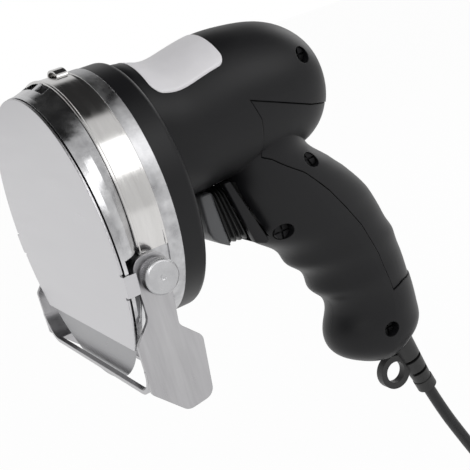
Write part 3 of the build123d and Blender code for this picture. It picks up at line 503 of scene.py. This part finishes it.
def makeBoot():
    form = bmesh.new()
    shape = bootForm["foldShape"]
    count = bootForm["folds"] * len(shape)
    rows = [
        bootLoop(form, step / count, bootForm["foldDepth"] * (1 - shape[step % len(shape)]))
        for step in range(count + 1)
    ]
    for row, after in zip(rows, rows[1:]):
        for step in range(len(row)):
            beside = (step + 1) % len(row)
            form.faces.new((row[step], row[beside], after[beside], after[step]))
    form.faces.new(rows[0])
    form.faces.new(rows[-1][::-1])
    bmesh.ops.recalc_face_normals(form, faces=form.faces)
    mesh = asMesh(form, "pleatedBoot")
    piece = finishPiece("pleatedBoot", mesh, "trigger_unit", "black_rubber", ["trigger_boot"], sharp=80)
    smooth = piece.modifiers.new("softFolds", "SUBSURF")
    smooth.levels = smooth.render_levels = bootForm["smoothing"]


makeBoot()

# Raised frame round the boot: two cheeks and the sill between them
bootFrame = {
    "cheek": [(-47.4, 54.4), (-44.6, 54.4), (-36.0, 28.8), (-37.4, 27.8), (-41.4, 29.6)],
    "sill": [(-41.4, 29.6), (-37.4, 27.8), (-36.0, 28.8), (-36.4, 30.0), (-39.0, 29.9)],
    "inner": 9.8,
    "outer": 13.4,
    "sillInCheek": 0.6,
    "round": 0.5,
    "roundSteps": 3,
}


def makeBootFrame():
    form = bmesh.new()
    middle = (bootFrame["inner"] + bootFrame["outer"]) / 2
    halfCheek = (bootFrame["outer"] - bootFrame["inner"]) / 2
    for centre, halfWidth, points in (
        (middle, halfCheek, bootFrame["cheek"]),
        (-middle, halfCheek, bootFrame["cheek"]),
        (0, bootFrame["inner"] + bootFrame["sillInCheek"], bootFrame["sill"]),
    ):
        slab = fromProfile(points, halfWidth, centre)
        roundEdges(slab, bootFrame["round"], segments=bootFrame["roundSteps"])
        mesh = asMesh(slab, "slab")
        form.from_mesh(mesh)
        bpy.data.meshes.remove(mesh)
    finishPiece("bootFrame", asMesh(form, "bootFrame"), "housing", "black_housing", [])


makeBootFrame()
print("trigger, boot and frame made")

# Label film with rounded corners, laid on the barrel from above
labelFilm = {
    "front": -66.0,
    "rear": -37.5,
    "inner": -8.0,
    "outer": 21.0,
    "corner": 3.2,
    "lift": 0.12,
    "thickness": 0.2,
    "rows": 40,
    "columns": 28,
    "castFrom": 200,
}


def makeLabel():
    shells = bmesh.new()
    for name in ("leftShell", "rightShell"):
        shells.from_mesh(bpy.data.objects[name].data)
    barrel = BVHTree.FromBMesh(shells)
    shells.free()
    form = bmesh.new()
    rows = []
    length = labelFilm["rear"] - labelFilm["front"]
    width = labelFilm["outer"] - labelFilm["inner"]
    corner = labelFilm["corner"]
    for row in range(labelFilm["rows"] + 1):
        share = 0.5 - 0.5 * cos(pi * row / labelFilm["rows"])  # closer rows at the rounded ends
        along = share * length
        edge = min(along, length - along)
        inset = 0 if edge >= corner else corner - sqrt(corner**2 - (corner - edge) ** 2)
        loop = []
        for column in range(labelFilm["columns"] + 1):
            across = labelFilm["inner"] + inset + (width - 2 * inset) * column / labelFilm["columns"]
            start = Vector((across * mm, (labelFilm["front"] + along) * mm, labelFilm["castFrom"] * mm))
            hit, normal, face, far = barrel.ray_cast(start, Vector((0, 0, -1)))
            loop.append(form.verts.new(hit + normal * labelFilm["lift"] * mm))
        rows.append(loop)
    for row, after in zip(rows, rows[1:]):
        for step in range(labelFilm["columns"]):
            form.faces.new((row[step], row[step + 1], after[step + 1], after[step]))
    bmesh.ops.recalc_face_normals(form, faces=form.faces)
    piece = finishPiece("labelFilm", asMesh(form, "labelFilm"), "housing", "white_label", ["label_plate"])
    film = piece.modifiers.new("filmThickness", "SOLIDIFY")
    film.thickness = labelFilm["thickness"] * mm
    film.offset = 0


makeLabel()
print("label laid")

# Stainless band: a rolled ring with beaded rims, and the half-round arch on its top
bandForm = {
    "axis": 62.0,
    "radius": 45.0,
    "endLevel": 51.8,
    "profile": [
        (44.35, -96.4), (45.0, -96.4), (45.35, -96.1), (45.35, -95.6), (45.05, -95.3), (45.0, -91.0),
        (45.0, -86.7), (45.2, -86.5), (45.2, -85.9), (45.0, -85.7), (44.35, -85.7),
    ],
    "steps": 96,
    "rimEase": 0.12,
    "archCentre": -88.6,
    "archHalfWidth": 2.0,
    "archSpan": 5.0,
    "archRise": 2.2,
    "archWall": 0.8,
    "archSunk": 0.5,
    "archSteps": 20,
}


def bandRing(form):
    start = asin((bandForm["endLevel"] - bandForm["axis"]) / bandForm["radius"])
    loops = []
    for step in range(bandForm["steps"] + 1):
        turn = start + (pi - 2 * start) * step / bandForm["steps"]
        loops.append([
            form.verts.new((radius * cos(turn) * mm, y * mm, (bandForm["axis"] + radius * sin(turn)) * mm))
            for radius, y in bandForm["profile"]
        ])
    count = len(bandForm["profile"])
    for loop, after in zip(loops, loops[1:]):
        for step in range(count):
            beside = (step + 1) % count
            form.faces.new((loop[step], loop[beside], after[beside], after[step]))
    form.faces.new(loops[0][::-1])
    form.faces.new(loops[-1])


def bandArch(form):
    sunk = bandForm["archSunk"]
    base = bandForm["axis"] + bandForm["radius"] - sunk
    arch = []
    for step in range(bandForm["archSteps"] + 1):
        turn = pi * step / bandForm["archSteps"]
        ring = []
        for wall in (0, bandForm["archWall"]):
            x = (bandForm["archSpan"] - wall) * cos(turn)
            z = base + (bandForm["archRise"] + sunk - wall) * sin(turn)
            for side in (-1, 1):
                y = bandForm["archCentre"] + side * bandForm["archHalfWidth"]
                ring.append(form.verts.new((x * mm, y * mm, z * mm)))
        arch.append(ring)
    for ring, after in zip(arch, arch[1:]):
        for a, b in ((0, 1), (1, 3), (3, 2), (2, 0)):
            form.faces.new((ring[a], ring[b], after[b], after[a]))
    form.faces.new([arch[0][corner] for corner in (0, 2, 3, 1)])
    form.faces.new([arch[-1][corner] for corner in (0, 1, 3, 2)])


def makeBand():
    form = bmesh.new()
    bandRing(form)
    bandArch(form)
    bmesh.ops.recalc_face_normals(form, faces=form.faces)
    piece = finishPiece("stainlessBand", asMesh(form, "stainlessBand"), "housing", "polished_steel", ["band"])
    eased = piece.modifiers.new("easedRims", "BEVEL")
    eased.width = bandForm["rimEase"] * mm
    eased.segments = 2
    eased.limit_method = "ANGLE"


makeBand()
print("band made")

# Thumb knobs: a turned body with a knurl of ridges set round its rim by Geometry Nodes
knobForm = {
    "profile": [
        (49.4, 0.0), (49.4, 3.4), (49.9, 5.2), (50.3, 5.6), (53.9, 5.6),
        (54.35, 5.3), (54.6, 4.9), (54.6, 1.0), (54.35, 0.6), (54.2, 0.0),
    ],
    "centre": (-94.6, 45.6),
    "steps": 64,
    "ridges": 60,
    "ridgeRadius": 5.6,
    "ridgeWidth": 0.34,
    "ridgeLength": 3.3,
    "ridgeMiddle": 52.1,
}


def knurlTree():
    tree = bpy.data.node_groups.new("knurlRing", "GeometryNodeTree")
    sockets = {}
    tree.interface.new_socket("Geometry", in_out="INPUT", socket_type="NodeSocketGeometry")
    for name, kind in (
        ("Ridge count", "NodeSocketInt"), ("Ring radius", "NodeSocketFloat"),
        ("Ridge size", "NodeSocketVector"), ("Ring middle", "NodeSocketVector"),
        ("Finish", "NodeSocketMaterial"),
    ):
        sockets[name] = tree.interface.new_socket(name, in_out="INPUT", socket_type=kind).identifier
    tree.interface.new_socket("Geometry", in_out="OUTPUT", socket_type="NodeSocketGeometry")
    start = tree.nodes.new("NodeGroupInput")
    ring = tree.nodes.new("GeometryNodeMeshCircle")
    ridge = tree.nodes.new("GeometryNodeMeshCube")
    outward = tree.nodes.new("GeometryNodeInputPosition")
    facing = tree.nodes.new("FunctionNodeAlignEulerToVector")
    facing.axis = "X"
    facing.pivot_axis = "Z"
    turned = tree.nodes.new("FunctionNodeRotateEuler")
    turned.space = "LOCAL"
    turned.inputs["Rotate By"].default_value = (0, 0, radians(45))  # each ridge shows a corner
    setRound = tree.nodes.new("GeometryNodeInstanceOnPoints")
    real = tree.nodes.new("GeometryNodeRealizeInstances")
    placed = tree.nodes.new("GeometryNodeTransform")
    placed.inputs["Rotation"].default_value = (0, radians(90), 0)
    joined = tree.nodes.new("GeometryNodeJoinGeometry")
    finish = tree.nodes.new("GeometryNodeSetMaterial")
    end = tree.nodes.new("NodeGroupOutput")
    join = tree.links.new
    join(start.outputs["Ridge count"], ring.inputs["Vertices"])
    join(start.outputs["Ring radius"], ring.inputs["Radius"])
    join(start.outputs["Ridge size"], ridge.inputs["Size"])
    join(outward.outputs[0], facing.inputs["Vector"])
    join(facing.outputs[0], turned.inputs["Rotation"])
    join(ring.outputs["Mesh"], setRound.inputs["Points"])
    join(ridge.outputs["Mesh"], setRound.inputs["Instance"])
    join(turned.outputs[0], setRound.inputs["Rotation"])
    join(setRound.outputs[0], placed.inputs["Geometry"])
    join(start.outputs["Ring middle"], placed.inputs["Translation"])
    join(placed.outputs[0], joined.inputs[0])
    join(start.outputs["Geometry"], joined.inputs[0])
    join(joined.outputs[0], real.inputs[0])
    join(real.outputs[0], finish.inputs["Geometry"])
    join(start.outputs["Finish"], finish.inputs["Material"])
    join(finish.outputs[0], end.inputs[0])
    return tree, sockets


def knobBody(side):
    form = bmesh.new()
    count = knobForm["steps"]
    y, z = knobForm["centre"]
    rows = []
    for x, radius in knobForm["profile"]:
        turns = [2 * pi * step / count for step in range(count)] if radius else [0]
        rows.append([
            form.verts.new((side * x * mm, (y + radius * cos(turn)) * mm, (z + radius * sin(turn)) * mm))
            for turn in turns
        ])
    for row, after in zip(rows, rows[1:]):
        for step in range(count):
            beside = (step + 1) % count
            corners = [row[0]] if len(row) == 1 else [row[step], row[beside]]
            corners += [after[0]] if len(after) == 1 else [after[beside], after[step]]
            form.faces.new(corners)
    bmesh.ops.recalc_face_normals(form, faces=form.faces)
    return form


def makeKnob(name, body, node, side, tree, sockets):
    y, z = knobForm["centre"]
    width = knobForm["ridgeWidth"] * mm
    blank = addObject(name + "Blank", asMesh(knobBody(side), name + "Blank"))
    knurl = blank.modifiers.new("knurlRing", "NODES")
    knurl.node_group = tree
    knurl[sockets["Ridge count"]] = knobForm["ridges"]
    knurl[sockets["Ring radius"]] = knobForm["ridgeRadius"] * mm
    knurl[sockets["Ridge size"]] = (width, width, knobForm["ridgeLength"] * mm)
    knurl[sockets["Ring middle"]] = (side * knobForm["ridgeMiddle"] * mm, y * mm, z * mm)
    knurl[sockets["Finish"]] = ready["turned_steel"]
    bpy.context.view_layer.update()
    baked = bpy.data.meshes.new_from_object(blank.evaluated_get(bpy.context.evaluated_depsgraph_get()))
    baked.name = name
    bpy.data.objects.remove(blank)
    finishPiece(name, baked, body, "turned_steel", [node], sharp=25)


ringTree, ringSockets = knurlTree()
makeKnob("leftKnob", "left_knob", "knob_left", 1, ringTree, ringSockets)
makeKnob("rightKnob", "right_knob", "knob_right", -1, ringTree, ringSockets)
print("knobs made")

# Studio: pale floor and world, soft lamps, and a dark patch of ceiling for the metal to show
studio = {
    "floorLevel": -0.153,
    "floorSize": 4.0,
    "paleTone": 0.97,
    "whiteShare": 0.96,  # how much of the floor that is seen shines by itself
    "lamps": {
        "keyLamp": {"place": (0.70, -0.60, 0.70), "size": 0.6, "power": 2.2},
        "sideLamp": {"place": (0.66, 0.40, 0.64), "size": 0.60, "power": 1.6},
        "rearLamp": {"place": (-0.40, 0.80, 0.40), "size": 0.6, "power": 1.0},
    },
    "patchSide": (0.06, 0.14),  # where the patch fades out, as shares of a direction
    "patchHeight": (0.62, 0.50),
    "patchLight": 0.03,
    "worldLight": 0.75,
}


def paleFinish():
    pale = bpy.data.materials.new("paleFloor")
    pale.use_nodes = True
    tree = pale.node_tree
    tree.nodes.remove(tree.nodes["Principled BSDF"])
    matt = tree.nodes.new("ShaderNodeBsdfDiffuse")
    matt.inputs["Color"].default_value = (studio["paleTone"],) * 3 + (1,)
    glow = tree.nodes.new("ShaderNodeEmission")
    rays = tree.nodes.new("ShaderNodeLightPath")
    seen = tree.nodes.new("ShaderNodeMath")
    seen.operation = "MAXIMUM"
    share = tree.nodes.new("ShaderNodeMath")
    share.operation = "MULTIPLY"
    share.inputs[1].default_value = studio["whiteShare"]
    mixed = tree.nodes.new("ShaderNodeMixShader")
    tree.links.new(rays.outputs["Is Camera Ray"], seen.inputs[0])
    tree.links.new(rays.outputs["Is Glossy Ray"], seen.inputs[1])
    tree.links.new(seen.outputs[0], share.inputs[0])
    tree.links.new(share.outputs[0], mixed.inputs[0])
    tree.links.new(matt.outputs[0], mixed.inputs[1])
    tree.links.new(glow.outputs[0], mixed.inputs[2])
    tree.links.new(mixed.outputs[0], tree.nodes["Material Output"].inputs["Surface"])
    return pale


def makeFloor():
    half = studio["floorSize"] / 2
    level = studio["floorLevel"]
    corners = [(-half, -half, level), (half, -half, level), (half, half, level), (-half, half, level)]
    mesh = bpy.data.meshes.new("studioFloor")
    mesh.from_pydata(corners, [], [(0, 1, 2, 3)])
    mesh.materials.append(paleFinish())
    addObject("studioFloor", mesh)


def makeLamps():
    for name, lamp in studio["lamps"].items():
        data = bpy.data.lights.new(name, "AREA")
        data.shape = "DISK"
        data.size = lamp["size"]
        data.energy = lamp["power"]
        holder = addObject(name, data)
        holder.location = lamp["place"]
        holder.rotation_euler = Vector(lamp["place"]).to_track_quat("Z", "Y").to_euler()


def fadeNode(tree, source, ends):
    fade = tree.nodes.new("ShaderNodeMapRange")
    fade.interpolation_type = "SMOOTHSTEP"
    fade.inputs["From Min"].default_value = ends[0]
    fade.inputs["From Max"].default_value = ends[1]
    tree.links.new(source, fade.inputs["Value"])
    return fade.outputs["Result"]


def makeWorld():
    world = bpy.data.worlds.new("studioWorld")
    bpy.context.scene.world = world
    world.use_nodes = True
    tree = world.node_tree
    room = tree.nodes["Background"]
    room.inputs["Color"].default_value = (1, 1, 1, 1)
    direction = tree.nodes.new("ShaderNodeTexCoord")
    split = tree.nodes.new("ShaderNodeSeparateXYZ")
    tree.links.new(direction.outputs["Generated"], split.inputs[0])
    lit = tree.nodes.new("ShaderNodeMath")
    lit.operation = "MAXIMUM"
    tree.links.new(fadeNode(tree, split.outputs["X"], studio["patchSide"]), lit.inputs[0])
    tree.links.new(fadeNode(tree, split.outputs["Z"], studio["patchHeight"]), lit.inputs[1])
    level = tree.nodes.new("ShaderNodeMapRange")
    level.inputs["To Min"].default_value = studio["patchLight"]
    level.inputs["To Max"].default_value = studio["worldLight"]
    tree.links.new(lit.outputs[0], level.inputs["Value"])
    rays = tree.nodes.new("ShaderNodeLightPath")
    white = tree.nodes.new("ShaderNodeMix")
    white.inputs["B"].default_value = 1  # for the rays that the camera sees
    tree.links.new(rays.outputs["Is Camera Ray"], white.inputs["Factor"])
    tree.links.new(level.outputs[0], white.inputs["A"])
    tree.links.new(white.outputs["Result"], room.inputs["Strength"])


makeFloor()
makeLamps()
makeWorld()
bpy.context.scene.view_settings.view_transform = "Standard"
print("studio ready")

bpy.context.view_layer.update()
